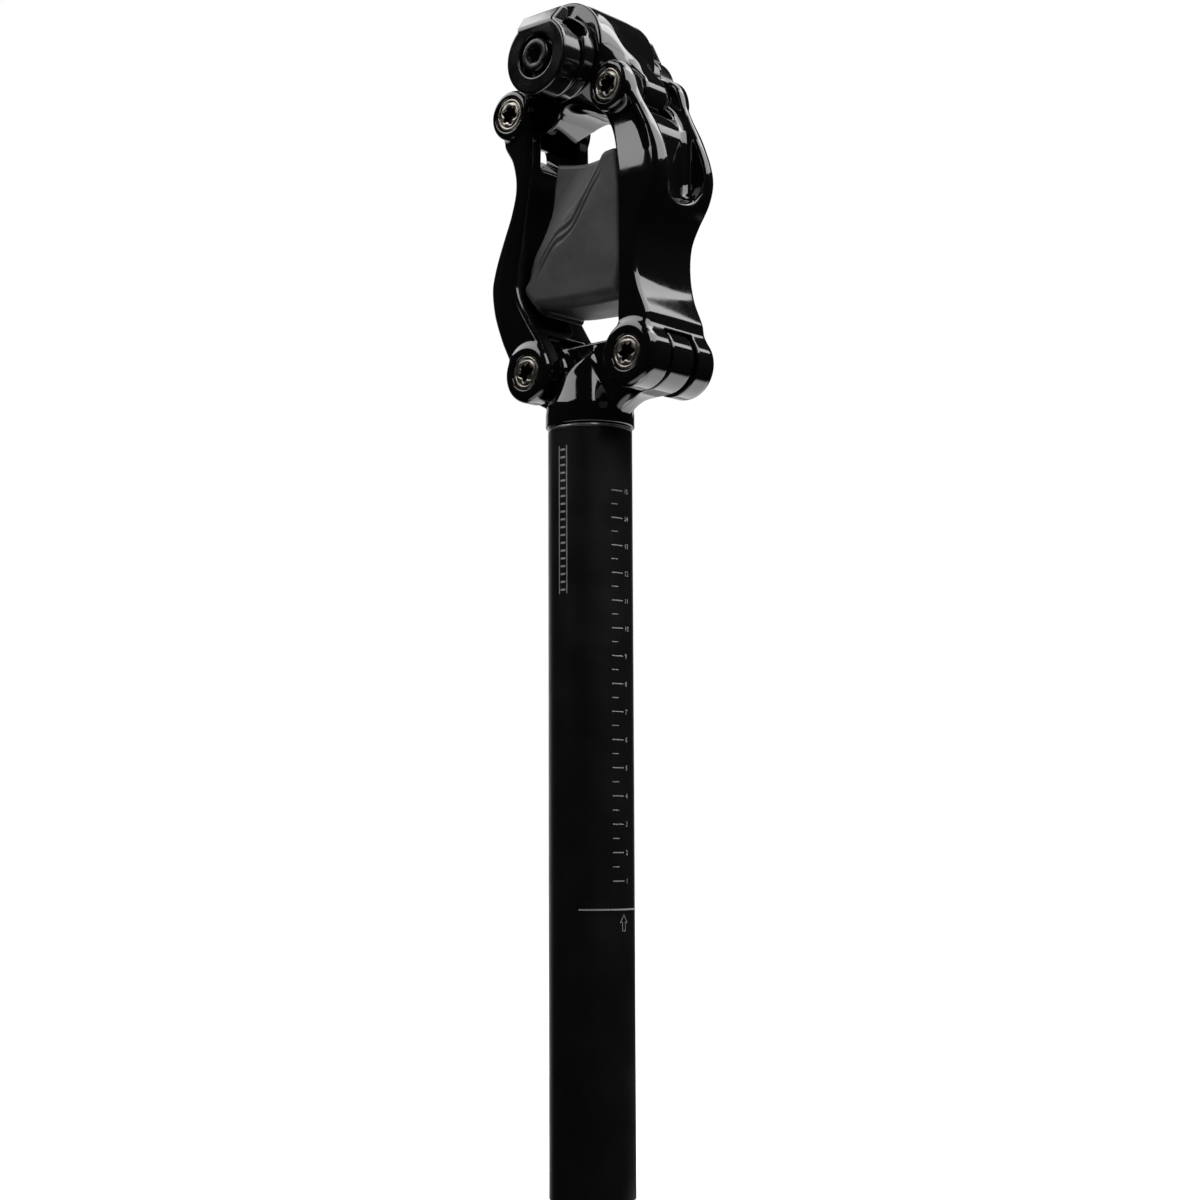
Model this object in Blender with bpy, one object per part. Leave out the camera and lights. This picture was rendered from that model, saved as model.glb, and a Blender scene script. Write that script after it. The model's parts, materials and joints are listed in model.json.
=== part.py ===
"""Suspension seatpost: a tube with a sprung parallelogram linkage and a saddle rail clamp on top.

The frame has +Z up along the tube, +X forward and +Y to the left, with its origin on the tube's axis at the foot.
Dimensions here are in millimetres, and meshes are written in metres.
"""

import math

import bmesh
import bpy
from mathutils import Matrix, Vector

MM = 0.001
GAP = 0.3  # between pieces that touch, or that run in one another

# Post tube
TUBE_RADIUS = 15.45
TUBE_WALL = 2.3
TUBE_TOP = 276.0
TUBE_STEPS = 48
FOOT_CHAMFER = 0.6

# Linkage: two lower pivots in the yoke, two upper ones in the head, all along Y
FRONT_LOWER = (33.2, 297.0)
REAR_LOWER = (-15.5, 297.0)
LINK_REACH = (-8.4, 100.0)
FRONT_UPPER = (FRONT_LOWER[0] + LINK_REACH[0], FRONT_LOWER[1] + LINK_REACH[1])
REAR_UPPER = (REAR_LOWER[0] + LINK_REACH[0], REAR_LOWER[1] + LINK_REACH[1])
LINK_HALF_WIDTH = 18.5
FRONT_EAR_INNER = 7.5
REAR_EAR_INNER = 10.2
FRONT_LOWER_BOSS = 11.7
REAR_LOWER_BOSS = 10.8
FRONT_UPPER_BOSS = 9.3
REAR_UPPER_BOSS = 9.5

# Pivot hardware
AXLE_RADIUS = 4.3
BUSH_RADIUS = 5.6
BUSH_LENGTH = 5.5
FLANGE_RADIUS = 7.6
FLANGE_THICKNESS = 0.8
BOLT_HEAD_RADIUS = 6.15
BOLT_SHANK_RADIUS = 2.6
BOLT_SHANK_END = 10.0
COUNTERBORE_FLOOR = 14.8
BOLT_FACE = 18.3
PIVOT_STEPS = 24

# Yoke
YOKE_WEB_TOP = 307.0
SPIGOT_BOTTOM = 246.0
REAR_LUG_RADIUS = 9.9

# Head
BARREL_CENTRE = (1.0, 416.0)
BARREL_RADIUS = 18.4
BARREL_HALF = 15.4
REAR_HEAD_LUG = 8.8
FRONT_HEAD_LUG = 8.6

# Rail clamp
CLAMP_BOLT = (1.8, 410.0)
RAIL_HEIGHT = 420.0
RAIL_HALF_SPACING = 22.0
RAIL_RADIUS = 3.6
INNER_CLAMP_RADIUS = 15.6
OUTER_CLAMP_RADIUS = 14.4
OUTER_CLAMP_FACE = 31.5
CLAMP_COUNTERBORE = (8.15, 26.0)
CLAMP_HEAD_RADIUS = 6.2
CLAMP_SHANK_RADIUS = 3.0
CLAMP_SHANK_END = 20.0
CLAMP_SLEEVE_RADIUS = 4.4
CLAMP_SLEEVE_END = 6.0
CLAMP_CUT = (-30, 34)  # how far the rail groove's and the chamfer's tools reach along X


def clear_scene():
    for item in list(bpy.data.objects):
        bpy.data.objects.remove(item, do_unlink=True)


def paint(name, colour, roughness, metallic):
    material = bpy.data.materials.new(name)
    material.use_nodes = True
    shader = material.node_tree.nodes["Principled BSDF"]
    shader.inputs["Base Color"].default_value = (*colour, 1)
    shader.inputs["Roughness"].default_value = roughness
    shader.inputs["Metallic"].default_value = metallic
    return material


def make_object(name, mesh, pivot, material=None):
    """An object with its origin on the Y axis line through pivot, from a bmesh drawn in place in millimetres."""
    bmesh.ops.recalc_face_normals(mesh, faces=mesh.faces)
    origin = Vector((pivot[0], 0, pivot[1]))
    bmesh.ops.translate(mesh, verts=mesh.verts, vec=-origin)
    bmesh.ops.scale(mesh, verts=mesh.verts, vec=(MM, MM, MM))
    data = bpy.data.meshes.new(name)
    mesh.to_mesh(data)
    mesh.free()
    data.shade_smooth()
    data.set_sharp_from_angle(angle=math.radians(35))
    item = bpy.data.objects.new(name, data)
    item.location = origin * MM
    bpy.context.collection.objects.link(item)
    if material:
        data.materials.append(material)
    return item


def attach(child, parent):
    child.parent = parent
    child.matrix_parent_inverse = Matrix.Translation(-parent.location)


def arc(centre, radius, start, stop, steps):
    """Points on a circle about centre from one angle to another, in degrees from +X towards +Z."""
    angles = (math.radians(start + (stop - start) * k / steps) for k in range(steps + 1))
    return [(centre[0] + radius * math.cos(a), centre[1] + radius * math.sin(a)) for a in angles]


def flowing(points, per_span=2):
    """The curve through all the points but the first and last, which only set its end directions."""
    curve = []
    for a, b, c, d in zip(points, points[1:], points[2:], points[3:]):
        for k in range(per_span):
            t = k / per_span
            curve.append(tuple(
                0.5 * (2 * q + (r - p) * t + (2 * p - 5 * q + 4 * r - s) * t**2 + (3 * q - p - 3 * r + s) * t**3)
                for p, q, r, s in zip(a, b, c, d)
            ))
    return curve + [points[-2]]


def prism(outline, low, high):
    """A closed outline in the XZ plane carried along Y from low to high."""
    mesh = bmesh.new()
    near = [mesh.verts.new((x, low, z)) for x, z in outline]
    far = [mesh.verts.new((x, high, z)) for x, z in outline]
    mesh.faces.new(near)
    mesh.faces.new(far[::-1])
    for k in range(len(outline)):
        mesh.faces.new((near[k - 1], near[k], far[k], far[k - 1]))
    return mesh


def turned(outline, centre, steps=PIVOT_STEPS):
    """A closed outline of (radius, y) points turned about the Y axis line through centre."""
    mesh = bmesh.new()
    rings = []
    for radius, y in outline:
        if radius == 0:
            rings.append([mesh.verts.new((centre[0], y, centre[1]))] * steps)
            continue
        turns = (2 * math.pi * k / steps for k in range(steps))
        rings.append([
            mesh.verts.new((centre[0] + radius * math.cos(a), y, centre[1] + radius * math.sin(a))) for a in turns
        ])
    for ring, after in zip(rings, rings[1:] + rings[:1]):
        for k in range(steps):
            corners = list(dict.fromkeys((ring[k - 1], ring[k], after[k], after[k - 1])))
            if len(corners) > 2:
                mesh.faces.new(corners)
    return mesh


def combine(target, tool, operation):
    """Joins tool to target, or cuts it away, with tool kept as a hidden guide."""
    tool.hide_render = True
    tool.display_type = "WIRE"
    modifier = target.modifiers.new(f"{operation.lower()} {tool.name}", "BOOLEAN")
    modifier.operation = operation
    modifier.solver = "EXACT"
    modifier.object = tool
    attach(tool, target)


def cut(target, name, mesh):
    combine(target, make_object(name, mesh, (0, 0)), "DIFFERENCE")


def join(target, name, mesh):
    combine(target, make_object(name, mesh, (0, 0)), "UNION")


def round_edges(target, width, segments=1, angle=50):
    modifier = target.modifiers.new("rounded edges", "BEVEL")
    modifier.width = width * MM
    modifier.segments = segments
    modifier.limit_method = "ANGLE"
    modifier.angle_limit = math.radians(angle)


def cylinder(centre, radius, low, high, steps=PIVOT_STEPS):
    return turned([(0, low), (radius, low), (radius, high), (0, high)], centre, steps)


def upright(outline, steps=TUBE_STEPS):
    """A closed outline of (radius, z) points turned about the tube's axis."""
    mesh = turned([(radius, z) for radius, z in outline], (0, 0), steps)
    bmesh.ops.rotate(mesh, verts=mesh.verts, cent=(0, 0, 0), matrix=Matrix.Rotation(math.radians(90), 3, "X"))
    return mesh


def post_tube(material):
    inner = TUBE_RADIUS - TUBE_WALL
    outline = [
        (inner, 0),
        (TUBE_RADIUS - FOOT_CHAMFER, 0),
        (TUBE_RADIUS, FOOT_CHAMFER),
        (TUBE_RADIUS, TUBE_TOP - FOOT_CHAMFER),
        (TUBE_RADIUS - FOOT_CHAMFER / 2, TUBE_TOP),
        (inner, TUBE_TOP),
    ]
    return make_object("post_tube", upright(outline), (0, 0), material)


def lower_yoke(material):
    """The neck and spigot, the web with its flat top, and a lug for each lower pivot."""
    neck_radius = TUBE_RADIUS + 0.25
    spigot_radius = TUBE_RADIUS - TUBE_WALL - GAP
    neck_bottom = TUBE_TOP + GAP
    neck = upright([
        (0, SPIGOT_BOTTOM),
        (spigot_radius, SPIGOT_BOTTOM),
        (spigot_radius, neck_bottom),
        (neck_radius - 0.5, neck_bottom),
        (neck_radius, neck_bottom + 0.5),
        (neck_radius, 284),
        (14.6, 288),
        (11.5, 293),
        (6.0, 296.5),
        (0, 297.2),
    ], 36)
    yoke = make_object("lower_yoke", neck, (0, 0), material)
    front_lug_half = FRONT_EAR_INNER - FLANGE_THICKNESS - 2 * GAP
    rear_lug_half = REAR_EAR_INNER - FLANGE_THICKNESS - 2 * GAP
    web = [
        *arc(REAR_LOWER, REAR_LUG_RADIUS - 0.5, 235, 80, 10),
        (-11.0, YOKE_WEB_TOP - 0.1),
        (22.0, YOKE_WEB_TOP - 0.2),
        *arc(FRONT_LOWER, FRONT_LOWER_BOSS, 105, -90, 16),
        *flowing([(40, 286), (31.5, 285.3), (27, 284.4), (22.5, 281.8), (19.2, 278.8), (15, 276.6), (10, 276)]),
        (-13.0, 276.6),
        (-17.5, 279.5),
    ]
    join(yoke, "yoke_web", prism(web, -front_lug_half, front_lug_half))
    join(yoke, "yoke_rear_lug", cylinder(REAR_LOWER, REAR_LUG_RADIUS, -rear_lug_half, rear_lug_half, 32))
    rear_gusset = [(-21.5, 289.8), (-15.0, 278.3), (3, 278.3), (3, 290), (-9, 303.5), (-15, 305)]
    join(yoke, "yoke_rear_gusset", prism(rear_gusset, -rear_lug_half + 0.6, rear_lug_half - 0.6))
    arch = [(-10.5, 279.2), (12.5, 279.2), (18.5, 289), (9, 302.6), (-4, 292), (-9.5, 285)]
    arch_guide = make_object("yoke_arch", prism(arch, -11.6, 11.6), (0, 0))
    round_edges(arch_guide, 1.6)
    combine(yoke, arch_guide, "UNION")
    for side, name in ((-1, "right"), (1, "left")):
        low, high = sorted((side * rear_lug_half, side * 22))
        cut(yoke, f"yoke_ear_room_{name}", cylinder(REAR_LOWER, REAR_LOWER_BOSS + 0.5, low, high))
    for pivot, name in ((FRONT_LOWER, "front"), (REAR_LOWER, "rear")):
        cut(yoke, f"yoke_{name}_bore", cylinder(pivot, BUSH_RADIUS + GAP, -20, 20))
    return yoke


def cut_pivot(link, name, pivot):
    """The axle's bore through both ears, and a counterbore in each for the bolt's head."""
    head = BOLT_HEAD_RADIUS + GAP
    bore = AXLE_RADIUS + GAP
    outline = [
        (0, -30), (head, -30), (head, -COUNTERBORE_FLOOR), (bore, -COUNTERBORE_FLOOR),
        (bore, COUNTERBORE_FLOOR), (head, COUNTERBORE_FLOOR), (head, 30), (0, 30),
    ]
    cut(link, f"{name}_bore", turned(outline, pivot))


def front_link(material):
    """A wide link, deep in its upper half and waisted below, with a pocket in the upper front face."""
    outline = [
        *arc(FRONT_LOWER, FRONT_LOWER_BOSS, 38, -242, 20),
        *flowing([(26, 302), (27.5, 312), (28.0, 335), (27.7, 361), (25.9, 372), (21.6, 384), (14, 396)]),
        *arc(FRONT_UPPER, FRONT_UPPER_BOSS, 203, 25, 13),
        *flowing([
            (30, 405), (38.5, 388.6), (43.6, 379), (47.2, 370), (48.1, 362.5), (45.6, 355), (40.4, 347),
            (37.1, 340), (36.3, 331), (37.8, 321), (41.4, 311), (42.6, 302),
        ]),
    ]
    link = make_object("front_link", prism(outline, -LINK_HALF_WIDTH, LINK_HALF_WIDTH), FRONT_LOWER, material)
    round_edges(link, 2.0)
    slot = FRONT_EAR_INNER
    cut(link, "front_link_lower_slot", cylinder(FRONT_LOWER, FRONT_LOWER_BOSS + 0.8, -slot, slot, 32))
    relief = [(46, 290), (46, 303.8), (39.5, 306.5), (33, 317.5), (25, 326), (10, 326), (10, 290)]
    cut(link, "front_link_relief", prism(relief, -slot + 0.05, slot - 0.05))
    cut(link, "front_link_upper_slot", cylinder(FRONT_UPPER, FRONT_UPPER_BOSS + 1.2, -slot, slot, 32))
    crown = [(8, 386.5), (24.8, 386.5), (36, 388), (60, 392), (60, 415), (8, 415)]
    cut(link, "front_link_crown", prism(crown, -slot + 0.05, slot - 0.05))
    pocket = [
        (31, 391), (36.5, 382), (38.2, 372), (38.4, 362), (40.5, 355.6), (50, 350.6), (60, 352), (60, 392), (40, 398)
    ]
    guide = make_object("front_link_pocket", prism(pocket, -12.2, 12.2), (0, 0))
    round_edges(guide, 3.0)
    combine(link, guide, "DIFFERENCE")
    cut_pivot(link, "front_link_lower", FRONT_LOWER)
    cut_pivot(link, "front_link_upper", FRONT_UPPER)
    return link


def rear_link(material):
    """A wavy link with a flat inner face, its bow behind the elastomer's lower corner."""
    outline = [
        *arc(REAR_LOWER, REAR_LOWER_BOSS, 155, 372, 16),
        *flowing([
            (-4, 292), (-7.6, 305), (-14.8, 316.5), (-20.6, 327), (-21.7, 337), (-20.2, 344), (-16.9, 361),
            (-15.1, 374), (-14.6, 385), (-14, 394),
        ]),
        *arc(REAR_UPPER, REAR_UPPER_BOSS, -5, 200, 14),
        *flowing([
            (-34, 396), (-31.5, 387), (-25.4, 378.5), (-23.0, 368), (-25.6, 359), (-30.2, 349.5), (-34.9, 339),
            (-36.3, 330.5), (-34.0, 320), (-29.5, 309.5), (-26, 302),
        ]),
    ]
    link = make_object("rear_link", prism(outline, -LINK_HALF_WIDTH, LINK_HALF_WIDTH), REAR_LOWER, material)
    round_edges(link, 1.4)
    slot = REAR_EAR_INNER
    cut(link, "rear_link_lower_slot", cylinder(REAR_LOWER, REAR_LOWER_BOSS + 0.6, -slot, slot, 32))
    foot = [(-16, 290), (5, 290), (5, 312), (-16, 312)]
    cut(link, "rear_link_foot", prism(foot, -slot + 0.05, slot - 0.05))
    crown = [(-45, 391), (-31, 386.5), (-14, 375.2), (0, 375.2), (0, 415), (-45, 415)]
    cut(link, "rear_link_upper_slot", prism(crown, -slot, slot))
    cut_pivot(link, "rear_link_lower", REAR_LOWER)
    cut_pivot(link, "rear_link_upper", REAR_UPPER)
    return link


def head(material):
    """The barrel across the post, with an arm down to each upper pivot."""
    barrel = turned([
        (0, -BARREL_HALF), (BARREL_RADIUS - 0.8, -BARREL_HALF), (BARREL_RADIUS, -BARREL_HALF + 0.8),
        (BARREL_RADIUS, BARREL_HALF - 0.8), (BARREL_RADIUS - 0.8, BARREL_HALF), (0, BARREL_HALF),
    ], BARREL_CENTRE, 48)
    piece = make_object("head", barrel, REAR_UPPER, material)
    front_half = FRONT_EAR_INNER - FLANGE_THICKNESS - 2 * GAP
    rear_half = REAR_EAR_INNER - FLANGE_THICKNESS - 2 * GAP
    rear_arm = [
        *arc(REAR_UPPER, REAR_HEAD_LUG, 128, 275, 12),
        (-14, 389.8), (-6, 393.2), (2, 399), (4, 416), (-4, 428), (-14.5, 424.5),
    ]
    join(piece, "head_rear_arm", prism(rear_arm, -rear_half, rear_half))
    front_arm = [
        *arc(FRONT_UPPER, FRONT_HEAD_LUG, 48, -98, 12),
        (16, 390.2), (8, 393.6), (-2, 399), (-2, 420), (8, 430.5), (17, 422),
    ]
    join(piece, "head_front_arm", prism(front_arm, -front_half, front_half))
    for pivot, name in ((FRONT_UPPER, "front"), (REAR_UPPER, "rear")):
        cut(piece, f"head_{name}_bore", cylinder(pivot, BUSH_RADIUS + GAP, -20, 20))
    cut(piece, "head_bolt_bore", cylinder(CLAMP_BOLT, clamp_bore_radius(1), -20, 20))
    return piece


def elastomer(material):
    """The rubber block between the links, from the front link's deep half down to the rear link's bow."""
    front = 27.3
    outline = [
        *flowing([(30, 372), (25.0, 374.4), (21, 374.6), (8, 373.2), (-6.5, 376), (-12, 380)], 4),
        *flowing([(-5, 382), (-6.5, 376), (-8.2, 367), (-9.6, 358), (-13.6, 350), (-19.0, 342), (-23, 334)], 2)[1:],
        *flowing([(-17, 346), (-19.2, 341.4), (-21.0, 335), (-20.4, 329), (-17.5, 323.5), (-13, 319), (-8, 316)])[1:],
        *flowing([(-20, 324), (-13, 319), (4.3, 316), (22, 313.2), (27, 313.0)])[1:],
        (front, 313.0),
        (front, 335),
        (front - 0.3, 361),
    ]
    block = make_object("elastomer", prism(outline, -15.0, 15.0), FRONT_LOWER, material)
    round_edges(block, 1.6)
    return block


def pivot_axle(name, pivot, material):
    """An axle through both ears and the lug, with a blind hole at each end for a bolt."""
    end = COUNTERBORE_FLOOR - GAP
    hole = BOLT_SHANK_RADIUS + GAP
    floor = BOLT_SHANK_END - 2 * GAP
    outline = [
        (0, -floor), (hole, -floor), (hole, -end), (AXLE_RADIUS, -end),
        (AXLE_RADIUS, end), (hole, end), (hole, floor), (0, floor),
    ]
    return make_object(name, turned(outline, pivot, 12), pivot, material)


def lobed_ring(mesh, centre, y, radius, depth, steps):
    """Six rounded lobes about centre: the radius swings between two values six times a turn."""
    ring = []
    for k in range(steps):
        a = 2 * math.pi * k / steps
        r = radius + depth * math.cos(6 * a)
        ring.append(mesh.verts.new((centre[0] + r * math.cos(a), y, centre[1] + r * math.sin(a))))
    return ring


def pivot_bolt(name, pivot, side, material):
    """A low round head with a six-lobe socket, and a shank that reaches into the axle."""
    steps = 24
    inner = COUNTERBORE_FLOOR + GAP
    outline = [(BOLT_SHANK_RADIUS, BOLT_SHANK_END), (BOLT_SHANK_RADIUS, inner), (BOLT_HEAD_RADIUS, inner),
               (BOLT_HEAD_RADIUS, BOLT_FACE)]
    mesh = bmesh.new()
    rings = []
    for radius, y in outline:
        rings.append(lobed_ring(mesh, pivot, side * y, radius, 0, steps))
    rings.append(lobed_ring(mesh, pivot, side * BOLT_FACE, 2.75, 0.4, steps))
    rings.append(lobed_ring(mesh, pivot, side * (BOLT_FACE - 2.2), 2.75, 0.4, steps))
    for ring, after in zip(rings, rings[1:]):
        for k in range(steps):
            mesh.faces.new((ring[k - 1], ring[k], after[k], after[k - 1]))
    mesh.faces.new(rings[0])
    mesh.faces.new(rings[-1])
    return make_object(name, mesh, pivot, material)


def flanged_bush(name, pivot, side, ear_inner, material):
    """A sleeve in one end of a lug's bore, with its flange between the lug and the ear."""
    outer = ear_inner - GAP
    flange = outer - FLANGE_THICKNESS
    bore = AXLE_RADIUS + GAP
    outline = [(bore, outer - BUSH_LENGTH), (BUSH_RADIUS, outer - BUSH_LENGTH), (BUSH_RADIUS, flange),
               (FLANGE_RADIUS, flange), (FLANGE_RADIUS, outer), (bore, outer)]
    return make_object(name, turned([(r, side * y) for r, y in outline], pivot, 12), pivot, material)


def clamp_bore_radius(side):
    """The right side passes the bolt's shank, and the left side the nut's sleeve."""
    return GAP + (CLAMP_SHANK_RADIUS if side < 0 else CLAMP_SLEEVE_RADIUS)


def clamp_disc(name, side, material):
    """The inner clamp: a disc on the barrel's end, with its top cut level and half of the rail's groove."""
    centre = (CLAMP_BOLT[0], CLAMP_BOLT[1] + 2)
    inner = BARREL_HALF + GAP
    outer = RAIL_HALF_SPACING - GAP / 2
    outline = [(0, inner), (INNER_CLAMP_RADIUS - 0.7, inner), (INNER_CLAMP_RADIUS, inner + 0.7),
               (INNER_CLAMP_RADIUS, outer - 0.7), (INNER_CLAMP_RADIUS - 0.7, outer), (0, outer)]
    disc = make_object(name, turned([(r, side * y) for r, y in outline], centre, 32), CLAMP_BOLT, material)
    cut(disc, f"{name}_groove", rail_bar(side))
    cut(disc, f"{name}_bore", cylinder(CLAMP_BOLT, clamp_bore_radius(side), -40, 40))
    return disc


def bar_along_x(section):
    """A straight bar through the whole clamp, with this (Y, Z) section."""
    mesh = bmesh.new()
    near = [mesh.verts.new((CLAMP_CUT[0], y, z)) for y, z in section]
    far = [mesh.verts.new((CLAMP_CUT[1], y, z)) for y, z in section]
    mesh.faces.new(near)
    mesh.faces.new(far)
    for k in range(len(section)):
        mesh.faces.new((near[k - 1], near[k], far[k], far[k - 1]))
    return mesh


def rail_bar(side, steps=16):
    """The space that a saddle rail takes up, along X, with its own clearance."""
    turns = [2 * math.pi * (k + 0.5) / steps for k in range(steps)]
    return bar_along_x([
        (side * RAIL_HALF_SPACING + RAIL_RADIUS * math.cos(a), RAIL_HEIGHT + RAIL_RADIUS * math.sin(a)) for a in turns
    ])


def clamp_plate(name, side, material):
    """The outer clamp: round below, level on top, chamfered there, with the other half of the groove."""
    inner = RAIL_HALF_SPACING + GAP / 2
    round_part = arc(CLAMP_BOLT, OUTER_CLAMP_RADIUS, 130, 416, 24)
    outline = [(-9.0, 428.5), *round_part, (10.0, 428.5)]
    low, high = sorted((side * inner, side * OUTER_CLAMP_FACE))
    plate = make_object(name, prism(outline, low, high), CLAMP_BOLT, material)
    round_edges(plate, 0.8)
    chamfer = [(25.0, 440), (25.0, 429.6), (36, 416.9), (36, 440)]
    cut(plate, f"{name}_chamfer", bar_along_x([(side * y, z) for y, z in chamfer]))
    cut(plate, f"{name}_groove", rail_bar(side))
    radius, floor = CLAMP_COUNTERBORE
    low, high = sorted((side * floor, side * 40))
    cut(plate, f"{name}_counterbore", cylinder(CLAMP_BOLT, radius, low, high))
    cut(plate, f"{name}_bore", cylinder(CLAMP_BOLT, clamp_bore_radius(side), -40, 40))
    return plate


def clamp_fasteners(steel, plain):
    """The cap screw from the right side, its washer, and the sleeve nut from the left side."""
    floor = CLAMP_COUNTERBORE[1]
    washer_top = floor + GAP + 1.0
    head_top = washer_top + GAP + 4.6
    steps = 24
    outline = [
        (CLAMP_SHANK_RADIUS, CLAMP_SHANK_END), (CLAMP_SHANK_RADIUS, -washer_top - GAP),
        (CLAMP_HEAD_RADIUS, -washer_top - GAP), (CLAMP_HEAD_RADIUS, -head_top + 0.5),
        (CLAMP_HEAD_RADIUS - 0.5, -head_top), (3.6, -head_top), (3.3, -head_top + 0.3),
    ]
    mesh = bmesh.new()
    rings = [lobed_ring(mesh, CLAMP_BOLT, y, radius, 0, steps) for radius, y in outline]
    for y in (-head_top + 0.3, -head_top + 3.2):
        ring = []
        for k in range(steps):
            a = 2 * math.pi * k / steps
            r = 2.55 / math.cos((a % (math.pi / 3)) - math.pi / 6)
            ring.append(mesh.verts.new((CLAMP_BOLT[0] + r * math.cos(a), y, CLAMP_BOLT[1] + r * math.sin(a))))
        rings.append(ring)
    for ring, after in zip(rings, rings[1:]):
        for k in range(steps):
            mesh.faces.new((ring[k - 1], ring[k], after[k], after[k - 1]))
    mesh.faces.new(rings[0])
    mesh.faces.new(rings[-1])
    bolt = make_object("clamp_bolt", mesh, CLAMP_BOLT, steel)
    bore = CLAMP_SHANK_RADIUS + GAP
    washer_outline = [(bore, -floor - GAP), (7.4, -floor - GAP), (7.4, -washer_top), (bore, -washer_top)]
    washer = make_object("clamp_washer", turned(washer_outline, CLAMP_BOLT), CLAMP_BOLT, plain)
    sleeve = CLAMP_SLEEVE_RADIUS
    nut_outline = [(bore, CLAMP_SLEEVE_END), (sleeve, CLAMP_SLEEVE_END), (sleeve, floor + GAP), (7.0, floor + GAP),
                   (7.0, floor + 4.4), (6.5, floor + 4.9), (bore, floor + 4.9)]
    nut = make_object("clamp_nut", turned(nut_outline, CLAMP_BOLT), CLAMP_BOLT, plain)
    return bolt, washer, nut


def build():
    clear_scene()
    anodised = paint("black_tube", (0.012, 0.012, 0.014), 0.42, 0.3)
    yoke_black = paint("yoke_gloss_black", (0.008, 0.008, 0.009), 0.12, 0.3)
    front_black = paint("front_link_gloss_black", (0.008, 0.008, 0.009), 0.12, 0.3)
    rear_black = paint("rear_link_gloss_black", (0.008, 0.008, 0.009), 0.12, 0.3)
    head_black = paint("head_gloss_black", (0.008, 0.008, 0.009), 0.12, 0.3)
    clamp_black = paint("clamp_black", (0.010, 0.010, 0.011), 0.22, 0.3)
    rubber = paint("grey_rubber", (0.06, 0.06, 0.06), 0.7, 0.0)
    bolt_metal = paint("pivot_bolt_metal", (0.42, 0.38, 0.32), 0.3, 1.0)
    steel = paint("clamp_bolt_metal", (0.10, 0.10, 0.10), 0.35, 1.0)
    plain = paint("washer_metal", (0.25, 0.25, 0.25), 0.35, 1.0)
    axle_metal = paint("axle_metal", (0.5, 0.5, 0.5), 0.3, 1.0)
    bush_plastic = paint("bush_plastic", (0.03, 0.03, 0.03), 0.5, 0.0)

    post_tube(anodised)
    yoke = lower_yoke(yoke_black)
    front = front_link(front_black)
    rear = rear_link(rear_black)
    top = head(head_black)
    attach(elastomer(rubber), front)

    pivots = (
        ("lower_front", FRONT_LOWER, FRONT_EAR_INNER, front, yoke),
        ("lower_rear", REAR_LOWER, REAR_EAR_INNER, rear, yoke),
        ("upper_front", FRONT_UPPER, FRONT_EAR_INNER, front, top),
        ("upper_rear", REAR_UPPER, REAR_EAR_INNER, rear, top),
    )
    for name, pivot, ear_inner, link, lug in pivots:
        attach(pivot_axle(f"{name}_axle", pivot, axle_metal), link)
        for side, side_name in ((-1, "right"), (1, "left")):
            attach(pivot_bolt(f"{name}_bolt_{side_name}", pivot, side, bolt_metal), link)
            attach(flanged_bush(f"{name}_bush_{side_name}", pivot, side, ear_inner, bush_plastic), lug)

    for side, side_name in ((-1, "right"), (1, "left")):
        disc = clamp_disc(f"inner_clamp_{side_name}", side, clamp_black)
        attach(clamp_plate(f"outer_clamp_{side_name}", side, clamp_black), disc)
        attach(disc, top)
    for piece in clamp_fasteners(steel, plain):
        attach(piece, top)


build()
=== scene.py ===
import json
import math

import bpy
import numpy as np
from mathutils import Matrix, Vector


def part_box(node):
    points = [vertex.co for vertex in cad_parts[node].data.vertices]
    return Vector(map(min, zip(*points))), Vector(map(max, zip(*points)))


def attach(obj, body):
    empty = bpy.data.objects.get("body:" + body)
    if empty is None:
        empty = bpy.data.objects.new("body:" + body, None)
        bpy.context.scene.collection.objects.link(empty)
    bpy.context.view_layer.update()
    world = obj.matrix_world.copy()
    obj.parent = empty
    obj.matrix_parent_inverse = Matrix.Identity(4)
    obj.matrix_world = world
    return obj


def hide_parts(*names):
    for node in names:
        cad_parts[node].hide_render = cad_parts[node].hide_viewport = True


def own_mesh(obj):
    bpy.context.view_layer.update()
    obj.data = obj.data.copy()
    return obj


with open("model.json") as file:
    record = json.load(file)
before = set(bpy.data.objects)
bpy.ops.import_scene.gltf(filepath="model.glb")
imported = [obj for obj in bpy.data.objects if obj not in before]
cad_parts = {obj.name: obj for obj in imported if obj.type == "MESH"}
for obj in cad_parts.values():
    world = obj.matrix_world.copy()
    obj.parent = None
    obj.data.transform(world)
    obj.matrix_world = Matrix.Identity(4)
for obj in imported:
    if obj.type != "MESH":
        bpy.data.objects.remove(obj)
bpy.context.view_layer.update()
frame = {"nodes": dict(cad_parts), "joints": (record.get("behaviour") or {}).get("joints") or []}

mm = 0.001


# Places, in millimetres, read from the frame

def jointPlace(name):
    place = next(j["pos_m"] for j in frame["joints"] if j["name"] == name)
    return place[0] / mm, place[2] / mm


def nodeMiddle(name):
    low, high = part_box(name)
    return (low[0] + high[0]) / 2 / mm, (low[2] + high[2]) / 2 / mm


frontLower = jointPlace("front_link_pivot")
rearLower = jointPlace("rear_link_pivot")
rearUpper = jointPlace("head_pivot")
frontUpper = nodeMiddle("upper_front_axle")
clampAxis = jointPlace("saddle_tilt")


# Fields: each is a signed distance in millimetres, negative inside, worked out on whole arrays

def roundMeet(a, b, radius):
    # where both hold; the edge between them is an arc of this radius
    inner = np.minimum(np.maximum(a, b), -radius)
    return inner + np.hypot(np.maximum(a + radius, 0), np.maximum(b + radius, 0))


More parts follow.
